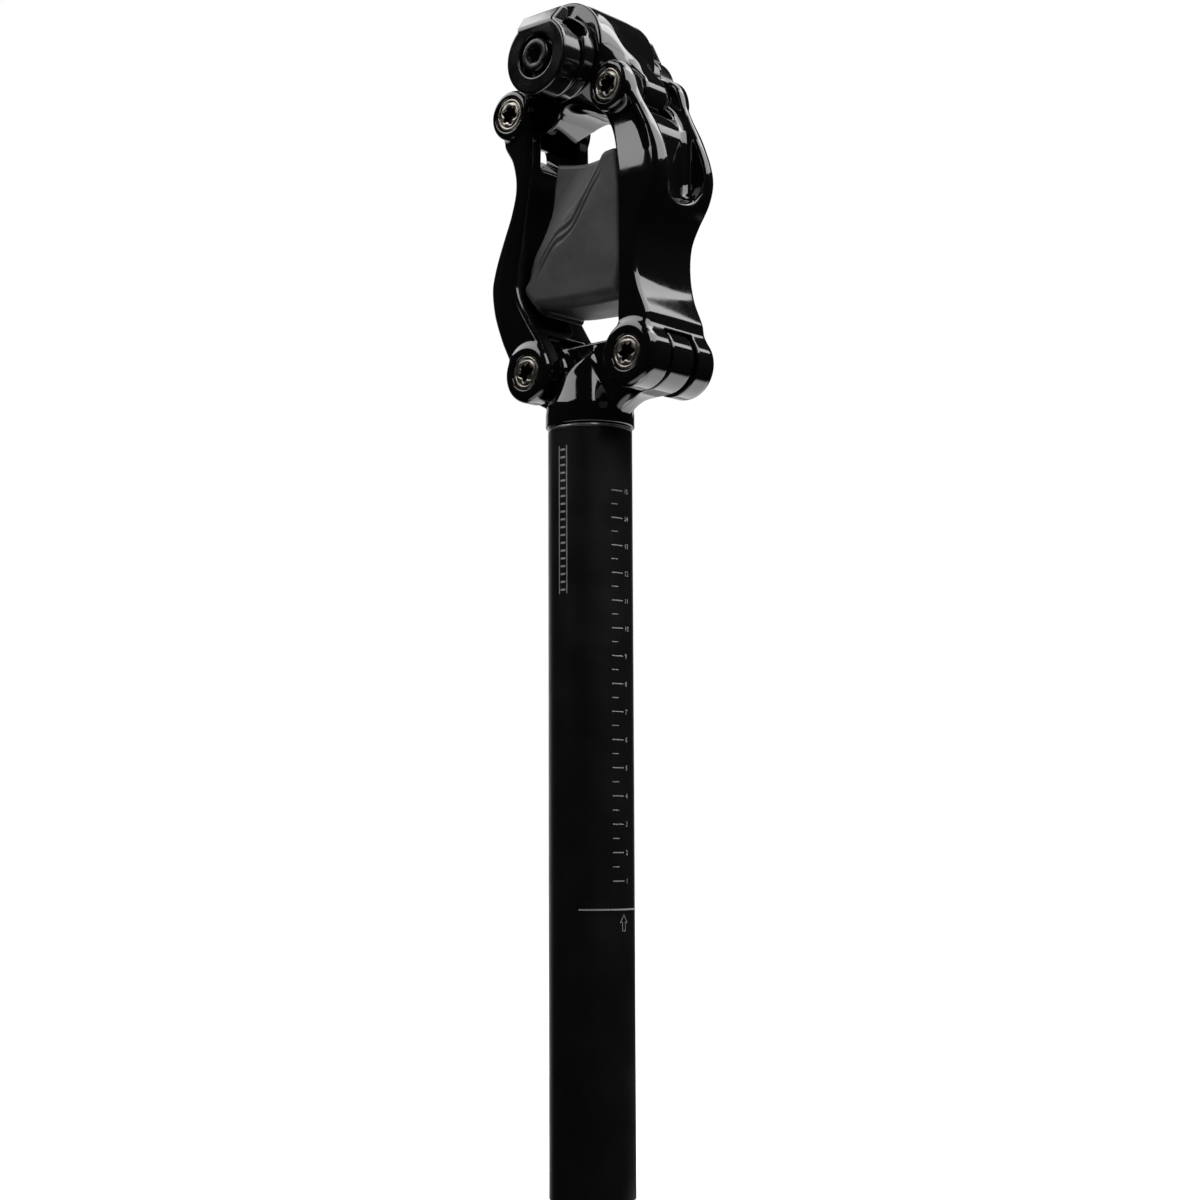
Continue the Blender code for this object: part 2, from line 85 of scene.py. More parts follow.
def roundJoin(a, b, radius):
    # where either holds; the corner between them is filled with an arc of this radius
    outer = np.maximum(np.minimum(a, b), radius)
    return outer - np.hypot(np.maximum(radius - a, 0), np.maximum(radius - b, 0))


def roundCut(body, tool, radius):
    return roundMeet(body, -tool, radius)


def circle(x, z, centre, radius):
    return np.hypot(x - centre[0], z - centre[1]) - radius


def ramp(value, low, high):
    # 0 below low, 1 above high, and a smooth step between
    t = np.clip((value - low) / (high - low), 0, 1)
    return t * t * (3 - 2 * t)


def arc(centre, radius, start, stop, steps=24):
    turn = np.radians(np.linspace(start, stop, steps + 1))
    return np.stack([centre[0] + radius * np.cos(turn), centre[1] + radius * np.sin(turn)], 1)


def flowing(points, perSpan=10):
    # a curve through all the points but the first and last, which only set its end directions
    p = np.array(points, float)
    t = (np.arange(perSpan) / perSpan)[None, :, None]
    a, b, c, d = (p[k:len(p) - 3 + k, None] for k in range(4))
    curve = 0.5 * (2 * b + (c - a) * t + (2 * a - 5 * b + 4 * c - d) * t**2 + (3 * b - a - 3 * c + d) * t**3)
    return np.vstack([curve.reshape(-1, 2), p[-2:-1]])


class Outline:
    # the signed distance to a closed outline, kept on a fine grid and read with a cubic spline
    def __init__(self, parts, step=0.3, margin=4.0):
        p = np.vstack(parts)
        self.step = step
        self.low = p.min(0) - margin
        count = np.ceil((p.max(0) - p.min(0) + 2 * margin) / step).astype(int) + 4
        x = self.low[0] + step * np.arange(count[0])[:, None]
        z = self.low[1] + step * np.arange(count[1])[None, :]
        nearest = np.full((count[0], count[1]), 1e9)
        inside = np.zeros((count[0], count[1]), bool)
        for (ax, az), (bx, bz) in zip(p, np.roll(p, -1, 0)):
            ux, uz = bx - ax, bz - az
            length = ux * ux + uz * uz
            if length < 1e-12:
                continue
            t = np.clip(((x - ax) * ux + (z - az) * uz) / length, 0, 1)
            nearest = np.minimum(nearest, (x - ax - t * ux) ** 2 + (z - az - t * uz) ** 2)
            crosses = ((az > z) != (bz > z)) & (x < ax + ux * (z - az) / (uz if uz else 1e-12))
            inside ^= crosses
        self.values = np.where(inside, -1, 1) * np.sqrt(nearest)

    def __call__(self, x, z):
        x, z = np.broadcast_arrays(x, z)
        u = np.clip((x - self.low[0]) / self.step, 1, self.values.shape[0] - 3.001)
        v = np.clip((z - self.low[1]) / self.step, 1, self.values.shape[1] - 3.001)
        i, j = u.astype(int), v.astype(int)
        u, v = u - i, v - j
        spline = lambda t: ((1 - t) ** 3 / 6, (3 * t**3 - 6 * t**2 + 4) / 6,
                            (-3 * t**3 + 3 * t**2 + 3 * t + 1) / 6, t**3 / 6)
        total = 0
        for m, wu in enumerate(spline(u)):
            for n, wv in enumerate(spline(v)):
                total = total + wu * wv * self.values[i + m - 1, j + n - 1]
        return total


def skin(field, low, high, cell, rounds=2):
    # the surface where a field is zero: one point in each cell of a grid that the surface crosses, one face
    # round each grid edge that it crosses, then the points are evened out and brought onto the surface
    axes = [np.arange(l - cell * 2, h + cell * 3, cell) for l, h in zip(low, high)]
    x, y, z = axes[0][:, None, None], axes[1][None, :, None], axes[2][None, None, :]
    d = np.broadcast_to(field(x, y, z), (len(axes[0]), len(axes[1]), len(axes[2]))).astype(np.float32)
    inside = d < 0
    part = lambda a, s: a[tuple(slice(o, a.shape[k] - 1 + o) for k, o in enumerate(s))]
    corners = [(i, j, k) for i in (0, 1) for j in (0, 1) for k in (0, 1)]
    count = sum(part(inside, c).astype(np.int8) for c in corners)
    active = (count > 0) & (count < 8)
    where = np.argwhere(active)
    number = np.full(active.shape, -1)
    number[active] = np.arange(len(where))
    total, hits = np.zeros((len(where), 3)), np.zeros(len(where))
    for a in corners:
        for axis in range(3):
            if a[axis]:
                continue
            b = tuple(v + (n == axis) for n, v in enumerate(a))
            da, db = d[tuple((where + a).T)], d[tuple((where + b).T)]
            cross = (da < 0) != (db < 0)
            t = np.where(cross, da / np.where(cross, da - db, 1), 0)
            place = np.tile(np.array(a, float), (len(where), 1))
            place[:, axis] = t
            total += place * cross[:, None]
            hits += cross
    p = (where + total / hits[:, None]) * cell + [axes[0][0], axes[1][0], axes[2][0]]
    faces = []
    for axis in range(3):
        u, v = (axis + 1) % 3, (axis + 2) % 3
        first = [slice(1, n - 1) for n in d.shape]
        first[axis] = slice(0, d.shape[axis] - 1)
        second = list(first)
        second[axis] = slice(1, d.shape[axis])
        a, b = inside[tuple(first)], inside[tuple(second)]
        at = np.argwhere(a != b)
        sign = a[tuple(at.T)]
        at = at + [s.start for s in first]
        ring = []
        for du, dv in ((-1, -1), (0, -1), (0, 0), (-1, 0)):
            cellAt = at.copy()
            cellAt[:, u] += du
            cellAt[:, v] += dv
            ring.append(number[tuple(cellAt.T)])
        quad = np.stack(ring, 1)
        quad[~sign] = quad[~sign][:, ::-1]
        faces.append(quad)
    faces = np.vstack(faces)
    size = len(p)

    def onto(p):
        e = 0.02
        value = field(p[:, 0], p[:, 1], p[:, 2])
        slope = np.stack([(field(*(p + s).T) - field(*(p - s).T)) / (2 * e) for s in np.eye(3) * e], 1)
        steep = np.maximum((slope**2).sum(1), 0.05)
        move = np.clip(value / steep, -cell, cell)
        return p - slope * move[:, None], slope / np.sqrt(steep)[:, None]

    ends = np.concatenate([faces[:, [0, 1]], faces[:, [1, 2]], faces[:, [2, 3]], faces[:, [3, 0]]])
    degree = np.bincount(ends.ravel(), minlength=size)[:, None]
    for _ in range(rounds):
        p, normal = onto(p)
        middle = np.stack([
            np.bincount(ends[:, 0], p[ends[:, 1], k], size) + np.bincount(ends[:, 1], p[ends[:, 0], k], size)
            for k in range(3)
        ], 1) / degree
        shift = middle - p
        p = p + 0.6 * (shift - normal * (shift * normal).sum(1)[:, None])
    p, normal = onto(p)
    return onto(p)[0], faces


# Objects and materials

def makePiece(name, points, faces, body, material, slotName, *nodes):
    mesh = bpy.data.meshes.new(name)
    mesh.from_pydata((np.asarray(points) * mm).tolist(), [], [list(face) for face in faces])
    mesh.polygons.foreach_set("use_smooth", np.ones(len(mesh.polygons), bool))
    mesh.update()
    piece = bpy.data.objects.new(name, mesh)
    bpy.context.collection.objects.link(piece)
    mesh.materials.append(material)
    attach(piece, body)
    if nodes:
        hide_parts(*nodes)
    print("made", name, len(points), "points", len(faces), "faces")
    return piece


def newMaterial(name, colour, roughness, metallic=0.0, ior=1.5):
    material = bpy.data.materials.new(name)
    material.use_nodes = True
    shader = material.node_tree.nodes["Principled BSDF"]
    shader.inputs["Base Color"].default_value = (*colour, 1)
    shader.inputs["Roughness"].default_value = roughness
    shader.inputs["Metallic"].default_value = metallic
    shader.inputs["IOR"].default_value = ior
    return material, material.node_tree, shader


def objectPlace(tree):
    return tree.nodes.new("ShaderNodeTexCoord").outputs["Object"]


def noise(tree, place, scale, detail=3.0, roughness=0.5, stretch=None):
    node = tree.nodes.new("ShaderNodeTexNoise")
    node.inputs["Scale"].default_value = scale
    node.inputs["Detail"].default_value = detail
    node.inputs["Roughness"].default_value = roughness
    if stretch:
        mapping = tree.nodes.new("ShaderNodeMapping")
        mapping.inputs["Scale"].default_value = stretch
        tree.links.new(place, mapping.inputs["Vector"])
        place = mapping.outputs["Vector"]
    tree.links.new(place, node.inputs["Vector"])
    return node.outputs["Fac"]


def between(tree, value, low, high, start=0.0, stop=1.0):
    node = tree.nodes.new("ShaderNodeMapRange")
    node.inputs["From Min"].default_value = start
    node.inputs["From Max"].default_value = stop
    node.inputs["To Min"].default_value = low
    node.inputs["To Max"].default_value = high
    tree.links.new(value, node.inputs["Value"])
    return node.outputs["Result"]


def mixColour(tree, share, first, second):
    node = tree.nodes.new("ShaderNodeMix")
    node.data_type = "RGBA"
    if isinstance(first, tuple):
        node.inputs["A"].default_value = (*first, 1)
    else:
        tree.links.new(first, node.inputs["A"])
    node.inputs["B"].default_value = (*second, 1)
    tree.links.new(share, node.inputs["Factor"])
    return node.outputs["Result"]


def bump(tree, shader, height, distance, strength=1.0, before=None):
    node = tree.nodes.new("ShaderNodeBump")
    node.inputs["Distance"].default_value = distance
    node.inputs["Strength"].default_value = strength
    tree.links.new(height, node.inputs["Height"])
    if before:
        tree.links.new(before, node.inputs["Normal"])
    tree.links.new(node.outputs["Normal"], shader.inputs["Normal"])
    return node.outputs["Normal"]


def polishedBlack():
    # gloss black anodising on a polished forging: a faint waviness and a few softer patches
    material, tree, shader = newMaterial("polishedBlack", (0.004, 0.004, 0.0045), 0.06, 0.0, 1.75)
    place = objectPlace(tree)
    dullness = between(tree, noise(tree, place, 90, 4), 0.045, 0.10, 0.35, 0.65)
    tree.links.new(dullness, shader.inputs["Roughness"])
    tone = mixColour(tree, noise(tree, place, 40, 3), (0.0032, 0.0032, 0.0036), (0.0062, 0.0060, 0.0064))
    tree.links.new(tone, shader.inputs["Base Color"])
    bump(tree, shader, noise(tree, place, 220, 2), 0.00002, 0.35)
    return material


def satinTube():
    # satin black anodised tube: fine turning lines round it and a slightly uneven sheen
    material, tree, shader = newMaterial("satinTube", (0.006, 0.006, 0.0068), 0.36, 0.0, 1.6)
    place = objectPlace(tree)
    dullness = between(tree, noise(tree, place, 60, 4), 0.30, 0.42, 0.3, 0.7)
    tree.links.new(dullness, shader.inputs["Roughness"])
    tone = mixColour(tree, noise(tree, place, 25, 3), (0.0048, 0.0048, 0.0054), (0.0085, 0.0084, 0.0092))
    tree.links.new(tone, shader.inputs["Base Color"])
    lines = noise(tree, place, 1, 2, 0.6, (40, 40, 5200))
    first = bump(tree, shader, lines, 0.00002, 0.25)
    bump(tree, shader, noise(tree, place, 2600, 1), 0.00001, 0.3, first)
    return material


def clampBlack():
    material, tree, shader = newMaterial("clampBlack", (0.006, 0.006, 0.0065), 0.12, 0.0, 1.75)
    place = objectPlace(tree)
    dullness = between(tree, noise(tree, place, 140, 4), 0.09, 0.17, 0.3, 0.7)
    tree.links.new(dullness, shader.inputs["Roughness"])
    tone = mixColour(tree, noise(tree, place, 60, 3), (0.0045, 0.0045, 0.005), (0.008, 0.0078, 0.0085))
    tree.links.new(tone, shader.inputs["Base Color"])
    bump(tree, shader, noise(tree, place, 900, 2), 0.000012, 0.3)
    return material


def mouldedRubber():
    # matte grey rubber: mould texture, small dull patches and fine specks, and a pale band along the slope's
    # shoulder that is painted sheen
    material, tree, shader = newMaterial("mouldedRubber", (0.05, 0.05, 0.05), 0.62, 0.0, 1.48)
    place = objectPlace(tree)
    broad, fine = noise(tree, place, 70, 5, 0.6), noise(tree, place, 1500, 3, 0.6)
    tone = mixColour(tree, between(tree, broad, 0, 1, 0.3, 0.7), (0.075, 0.075, 0.078), (0.125, 0.124, 0.124))
    # a narrow pale band along the shoulder of the slope: a painted highlight standing in for the rubber's
    # sheen
    slope = tree.nodes.new("ShaderNodeVectorMath")
    slope.operation = "DOT_PRODUCT"
    slope.inputs[1].default_value = (-0.711, 0, 0.703)
    tree.links.new(place, slope.inputs[0])
    low = between(tree, slope.outputs["Value"], 0, 1, 0.2476, 0.2512)
    high = between(tree, slope.outputs["Value"], 1, 0, 0.2535, 0.2585)
    sheenBand = tree.nodes.new("ShaderNodeMath")
    sheenBand.operation = "MULTIPLY"
    tree.links.new(low, sheenBand.inputs[0])
    tree.links.new(high, sheenBand.inputs[1])
    paintedSheen = mixColour(tree, sheenBand.outputs["Value"], tone, (0.21, 0.21, 0.205))
    tree.links.new(paintedSheen, shader.inputs["Base Color"])
    tree.links.new(between(tree, broad, 0.38, 0.56, 0.3, 0.7), shader.inputs["Roughness"])
    first = bump(tree, shader, broad, 0.0003, 0.35)
    bump(tree, shader, fine, 0.00006, 0.5, first)
    return material


def platedBolt():
    # warm grey plating with turning marks, and painted shade: the colour goes near black deeper in, in the
    # socket and on the head's sunk side
    material, tree, shader = newMaterial("platedBolt", (0.30, 0.27, 0.23), 0.26, 1.0)
    place = objectPlace(tree)
    plating = mixColour(tree, between(tree, noise(tree, place, 300, 4, 0.6), 0, 1, 0.3, 0.7),
                        (0.36, 0.33, 0.29), (0.50, 0.465, 0.415))
    # painted shade: the colour goes near black nearer the middle than the head's face, in the socket's recess
    # and round the head's side sunk in its counterbore
    depth = tree.nodes.new("ShaderNodeSeparateXYZ")
    tree.links.new(place, depth.inputs[0])
    outward = tree.nodes.new("ShaderNodeMath")
    outward.operation = "ABSOLUTE"
    tree.links.new(depth.outputs["Y"], outward.inputs[0])
    shadeDepths = boltPlan["socketShadeFrom"] * mm, boltPlan["socketShadeTo"] * mm
    inside = between(tree, outward.outputs["Value"], 1, 0, *shadeDepths)
    tree.links.new(mixColour(tree, inside, plating, (0.02, 0.018, 0.016)), shader.inputs["Base Color"])
    dullness = between(tree, noise(tree, place, 500, 3), 0.24, 0.34, 0.3, 0.7)
    tree.links.new(dullness, shader.inputs["Roughness"])
    bump(tree, shader, noise(tree, place, 900, 2), 0.00001, 0.06)
    return material


def darkSteel(name="darkSteel", low=(0.03, 0.03, 0.032), high=(0.075, 0.073, 0.07)):
    material, tree, shader = newMaterial(name, low, 0.3, 0.9)
    place = objectPlace(tree)
    tree.links.new(mixColour(tree, noise(tree, place, 300, 4), low, high), shader.inputs["Base Color"])
    dullness = between(tree, noise(tree, place, 700, 3), 0.18, 0.36, 0.3, 0.7)
    tree.links.new(dullness, shader.inputs["Roughness"])
    bump(tree, shader, noise(tree, place, 1500, 2), 0.00002, 0.4)
    return material


def bareMetal():
    # the turned ring at the tube's top edge
    material, tree, shader = newMaterial("bareMetal", (0.62, 0.62, 0.63), 0.3, 1.0)
    place = objectPlace(tree)
    lines = noise(tree, place, 1, 2, 0.6, (60, 60, 9000))
    tree.links.new(between(tree, lines, 0.22, 0.42, 0.3, 0.7), shader.inputs["Roughness"])
    tree.links.new(mixColour(tree, lines, (0.5, 0.5, 0.51), (0.72, 0.72, 0.73)), shader.inputs["Base Color"])
    bump(tree, shader, lines, 0.00002, 0.3)
    return material


def bushPolymer():
    material, tree, shader = newMaterial("bushPolymer", (0.02, 0.02, 0.02), 0.5)
    place = objectPlace(tree)
    tree.links.new(mixColour(tree, noise(tree, place, 400, 3), (0.012, 0.012, 0.012), (0.035, 0.034, 0.033)),
                   shader.inputs["Base Color"])
    tree.links.new(between(tree, noise(tree, place, 900, 2), 0.4, 0.6), shader.inputs["Roughness"])
    return material


def laserMark():
    # pale laser etching: slightly broken up, because it is burnt into the black layer
    material, tree, shader = newMaterial("laserMark", (0.6, 0.6, 0.6), 0.6)
    place = objectPlace(tree)
    share = between(tree, noise(tree, place, 2500, 3, 0.7), 0, 1, 0.3, 0.6)
    tone = mixColour(tree, share, (0.42, 0.42, 0.43), (0.72, 0.72, 0.72))
    tree.links.new(tone, shader.inputs["Base Color"])
    return material


# Forged links

frontLinkPlan = dict(halfWidth=16.8, bossHalf=18.5, slotHalf=7.5, lowerBoss=11.7, upperBoss=9.3, cell=0.5)


def frontLinkField():
    plan = frontLinkPlan
    outline = Outline([
        arc(frontLower, plan["lowerBoss"] - 0.3, 38, -242, 60),
        flowing([(26, 302), (27.5, 312), (28.0, 335), (27.7, 361), (25.9, 372), (21.6, 384), (14, 396)]),
        arc(frontUpper, plan["upperBoss"] - 0.3, 203, 25, 40),
        flowing([
            (30, 405), (38.5, 388.6), (43.6, 379), (47.2, 370), (48.1, 362.5), (45.6, 355), (40.4, 347),
            (37.1, 340), (36.3, 331), (37.8, 321), (41.4, 311), (42.6, 302),
        ]),
    ])
    pocketOutline = Outline([flowing([
        (62, 345), (50, 349.6), (43.5, 352.2), (39.6, 356.0), (38.4, 362), (38.2, 372), (37.6, 382),
        (33.5, 390),
        (26, 402), (45, 420), (62, 400), (66, 370), (62, 345), (50, 349.6), (43.5, 352.2),
    ])])
    frontEdge = np.array([
        (42.6, 302), (41.4, 311), (37.8, 321), (36.3, 331), (37.1, 340), (40.4, 347), (45.6, 355),
        (48.1, 362.5),
        (47.2, 370), (43.6, 379), (38.5, 388.6), (33, 400),
    ])
    relief = Outline([np.array([
        (46, 290), (46, 303.8), (39.5, 306.5), (33, 317.5), (25, 326), (10, 326), (10, 290),
    ])])
    crown = Outline([np.array([(8, 386.5), (24.8, 386.5), (36, 388), (60, 392), (60, 415), (8, 415)])])

    def field(x, y, z):
        side = np.abs(y)
        profile = outline(x, z)
        toFront = ramp(x, 29, 37)
        top = ramp(z, 360, 386)
        behind = np.interp(z, frontEdge[:, 1], frontEdge[:, 0]) - x
        edge = 1.6 + toFront * (0.6 + 3.4 * ramp(z, 350, 376))
        half = plan["halfWidth"] + 1.2 * top - 4.4 * top * ramp(behind, 0.5, 8.5)
        waist = ramp(z, 300, 345) * (1 - ramp(z, 345, 390))
        bulge = toFront * (side / plan["halfWidth"]) ** 2 * waist
        body = roundMeet(profile + bulge, side - half, edge)
        for centre, radius in ((frontLower, plan["lowerBoss"]), (frontUpper, plan["upperBoss"])):
            boss = roundMeet(circle(x, z, centre, radius), side - plan["bossHalf"], 0.23 * radius)
            body = roundJoin(body, boss, 2.0)
        drop = np.minimum(z - 363.5, 0)
        lane = np.hypot(y, drop * 0.95) - (10.4 + 1.8 * ramp(z, 378, 392))
        body = roundCut(body, roundMeet(pocketOutline(x, z), lane, 3.5), 2.2)
        slot = side - plan["slotHalf"]
        body = roundCut(body, roundMeet(slot, circle(x, z, frontLower, 12.4), 0.4), 0.6)
        body = roundCut(body, roundMeet(slot, relief(x, z), 0.8), 0.6)
        body = roundCut(body, roundMeet(slot, circle(x, z, frontUpper, 10.5), 0.4), 0.6)
        body = roundCut(body, roundMeet(slot, crown(x, z), 0.8), 0.6)
        return cutPivots(body, x, side, z, (frontLower, frontUpper))

    return field


def cutPivots(body, x, side, z, centres):
    # the axle's bore through each ear, and the counterbore that the bolt's head sits in
    for centre in centres:
        body = np.maximum(body, -circle(x, z, centre, 4.7))
        body = roundCut(body, roundMeet(circle(x, z, centre, 6.5), 14.8 - side, 0.2), 0.55)
    return body


rearLinkPlan = dict(halfWidth=17.1, bossHalf=18.5, slotHalf=10.2, lowerBoss=10.8, upperBoss=9.5, cell=0.5)


def rearLinkField():
    plan = rearLinkPlan
    outline = Outline([
        arc(rearLower, plan["lowerBoss"] - 0.3, 155, 372, 50),
        flowing([
            (-4, 292), (-7.6, 305), (-14.8, 316.5), (-20.6, 327), (-21.7, 337), (-20.2, 344), (-16.9, 361),
            (-15.1, 374), (-14.6, 385), (-14, 394),
        ]),
        arc(rearUpper, plan["upperBoss"] - 0.3, -5, 200, 40),
        flowing([
            (-34, 396), (-31.5, 387), (-25.4, 378.5), (-23.0, 368), (-25.6, 359), (-30.2, 349.5),
            (-34.9, 339),
            (-36.3, 330.5), (-34.0, 320), (-29.5, 309.5), (-26, 302),
        ]),
    ])
    crown = Outline([np.array([(-45, 391), (-31, 386.5), (-14, 375.2), (0, 375.2), (0, 415), (-45, 415)])])
    foot = Outline([np.array([(-16, 290), (5, 290), (5, 312), (-16, 312)])])
    ridge = np.array([
        (-24.0, 302), (-27.5, 312), (-29.6, 322), (-29.6, 333), (-26.5, 345), (-22.0, 358), (-19.5, 372),
    ])

    def field(x, y, z):
        side = np.abs(y)
        profile = outline(x, z)
        ridgeX = np.interp(z, ridge[:, 1], ridge[:, 0])
        behind = np.maximum(ridgeX - x, 0)
        toFront = ramp(x - ridgeX, 0, 8)
        half = plan["halfWidth"] - 0.32 * behind
        body = roundMeet(profile, side - half, 1.7 + 0.5 * toFront)
        for centre, radius in ((rearLower, plan["lowerBoss"]), (rearUpper, plan["upperBoss"])):
            boss = roundMeet(circle(x, z, centre, radius), side - plan["bossHalf"], 0.23 * radius)
            body = roundJoin(body, boss, 1.6)
        slot = side - plan["slotHalf"]
        body = roundCut(body, roundMeet(slot, circle(x, z, rearLower, 11.3), 0.4), 0.6)
        body = roundCut(body, roundMeet(slot, foot(x, z), 0.8), 0.6)
        body = roundCut(body, roundMeet(slot, crown(x, z), 1.2), 0.8)
        return cutPivots(body, x, side, z, (rearLower, rearUpper))

    return field


yokePlan = dict(neckRadius=15.6, frontLug=6.1, rearLug=8.8, rearRadius=9.9, bevel=1.3, cell=0.5)


def yokeField():
    plan = yokePlan
    web = Outline([
        arc(rearLower, plan["rearRadius"] - 0.5, 225, 80, 30),
        np.array([(-11.0, 306.9), (22.0, 306.8)]),
        arc(frontLower, 11.6, 105, -90, 50),
        flowing([
            (40, 286), (31.5, 285.3), (27, 284.8), (22.5, 283.4), (18.4, 281.2), (15.2, 277.8), (13, 272),
        ]),
        np.array([(0, 276.6), (-15.0, 279.5), (-16.2, 286)]),
    ])
    arch = Outline([flowing([
        (-24, 268), (-19, 276), (-11.5, 286), (-2, 295), (7.6, 303.2), (8.4, 303.2), (15.0, 293),
        (18.6, 283), (19.6, 270), (0, 262), (-24, 268), (-19, 276), (-11.5, 286),
    ])])

    def field(x, y, z):
        side = np.abs(y)
        radial = np.hypot(x, y)
        neck = roundMeet(radial - plan["neckRadius"] + 0.45 * np.maximum(z - 284, 0), z - 297, 5)
        under = 0.8 + 3.8 * (1 - ramp(x, 22, 31)) * (1 - ramp(z, 285, 294)) * ramp(x, 2, 10)
        slab = roundMeet(web(x, z), side - plan["frontLug"], under)
        lug = roundMeet(circle(x, z, rearLower, plan["rearRadius"]), side - plan["rearLug"], 0.8)
        face = radial - plan["neckRadius"] + 0.2 * np.maximum(z - 281, 0)
        tip = arch(x, z)
        pad = roundMeet(np.maximum(face, tip), (face + tip + plan["bevel"]) / math.sqrt(2), 0.5)
        body = roundJoin(roundJoin(slab, lug, 4.0), neck, 2.0)
        body = roundJoin(body, pad, 2.6)
        ears = roundMeet(circle(x, z, rearLower, 11.4), plan["rearLug"] - side, 0.3)
        body = roundCut(body, ears, 0.8)
        ears = roundMeet(circle(x, z, frontLower, 12.2), plan["frontLug"] - side, 0.3)
        body = roundCut(body, ears, 0.8)
        body = roundMeet(body, 276.4 - z, 0.5)
        for centre in (frontLower, rearLower):
            body = np.maximum(body, -circle(x, z, centre, 5.9))
        spigot = roundMeet(radial - 12.8, 246.2 - z, 0.6)
        return np.minimum(body, np.maximum(spigot, z - 290))

    return field


headPlan = dict(centre=(1.0, 416.0), radius=18.4, half=15.4, frontLug=6.1, rearLug=8.8, cell=0.5)


def headField():
    plan = headPlan
    rearArm = Outline([
        arc(rearUpper, 8.8, 128, 275, 40),
        np.array([(-14, 389.8), (-6, 393.2), (2, 399), (4, 416), (-4, 428), (-14.5, 424.5)]),
    ])
    frontArm = Outline([
        arc(frontUpper, 8.6, 48, -98, 40),
        np.array([(16, 390.2), (8, 393.6), (-2, 399), (-2, 420), (8, 430.5), (17, 422)]),
    ])

    def field(x, y, z):
        side = np.abs(y)
        barrel = roundMeet(circle(x, z, plan["centre"], plan["radius"]), side - plan["half"], 1.0)
        toBarrel = circle(x, z, plan["centre"], plan["radius"])
        flare = 8.5 * (1 - ramp(toBarrel, -3, 10))
        soft = 1.2 + 4.4 * np.maximum(ramp(z, 402, 412), 1 - ramp(x, 9, 17))
        front = roundMeet(frontArm(x, z), side - plan["frontLug"] - flare, soft)
        rear = roundMeet(rearArm(x, z), side - plan["rearLug"] - 0.6 * flare, 1.2)
        body = roundJoin(front, rear, 4.0)
        body = roundJoin(body, barrel, 4.5)
        body = roundMeet(body, side - plan["half"], 0.8)  # the join doesn't swell the barrel's ends
        room = np.minimum(circle(x, z, frontUpper, 9.8), circle(x, z, rearUpper, 10.0))
        lug = np.where(x > 0, plan["frontLug"], plan["rearLug"])
        body = roundCut(body, roundMeet(room, lug - side, 0.3), 0.5)
        for centre in (frontUpper, rearUpper):
            body = np.maximum(body, -circle(x, z, centre, 5.9))
        return np.maximum(body, -circle(x, z, clampAxis, 4.7))

    return field


railPlan = dict(height=420.0, spacing=22.0, radius=3.6, cell=0.42)


def innerClampField(x, y, z):
    centre = (clampAxis[0], clampAxis[1] + 2)
    disc = roundMeet(circle(x, z, centre, 15.6), np.abs(y - 18.775) - 3.075, 0.8)
    groove = np.hypot(y - railPlan["spacing"], z - railPlan["height"]) - railPlan["radius"]
    disc = roundCut(disc, groove, 0.5)
    return np.maximum(disc, -circle(x, z, clampAxis, 4.7))


def outerClampField():
    outline = Outline([
        np.array([(-9.0, 428.5)]), arc(clampAxis, 14.4, 130, 416, 80), np.array([(10.0, 428.5)]),
    ])

    def field(x, y, z):
        plate = roundMeet(outline(x, z), np.abs(y - 26.825) - 4.675, 0.9)
        slope = ((y - 25.0) * 12.7 + (z - 429.6) * 11.0) / 16.8
        plate = roundMeet(plate, slope, 0.7)
        groove = np.hypot(y - railPlan["spacing"], z - railPlan["height"]) - railPlan["radius"]
        plate = roundCut(plate, groove, 0.5)
        plate = roundCut(plate, roundMeet(circle(x, z, clampAxis, 8.15), 26.0 - y, 0.3), 0.5)
        return np.maximum(plate, -circle(x, z, clampAxis, 4.7))

    return field


def mirrored(points, faces, side):
    # the left piece is worked out, and the right one is its mirror image
    points = np.array(points)
    if side < 0:
        points[:, 1] *= -1
        faces = faces[:, ::-1]
    return points, faces


def boxOf(*nodes):
    lows, highs = zip(*(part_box(n) for n in nodes))
    return np.min(lows, 0) / mm, np.max(highs, 0) / mm


def addForgings(material):
    for name, field, plan in (
        ("front_link", frontLinkField(), frontLinkPlan), ("rear_link", rearLinkField(), rearLinkPlan),
        ("lower_yoke", yokeField(), yokePlan), ("head", headField(), headPlan),
    ):
        low, high = boxOf(name)
        points, faces = skin(field, low, high, plan["cell"])
        body = {"lower_yoke": "post"}.get(name, name)
        makePiece(f"{name}_forging", points, faces, body, material, "forging_black", name)


def addClamps(material):
    for kind, field in (("inner", innerClampField), ("outer", outerClampField())):
        low, high = boxOf(f"{kind}_clamp_left")
        points, faces = skin(field, low, high, railPlan["cell"])
        for side, sideName in ((-1, "right"), (1, "left")):
            body = "rail_clamp" if kind == "inner" else f"{sideName}_clamp_plate"
            node = f"{kind}_clamp_{sideName}"
            makePiece(f"{node}_shaped", *mirrored(points, faces, side), body, material, "clamp_black", node)


# Elastomer

rubberPlan = dict(front=27.3, halfWidth=14.4, recess=3.6, grooveGap=2.4, grooveDepth=0.5, cell=0.42)


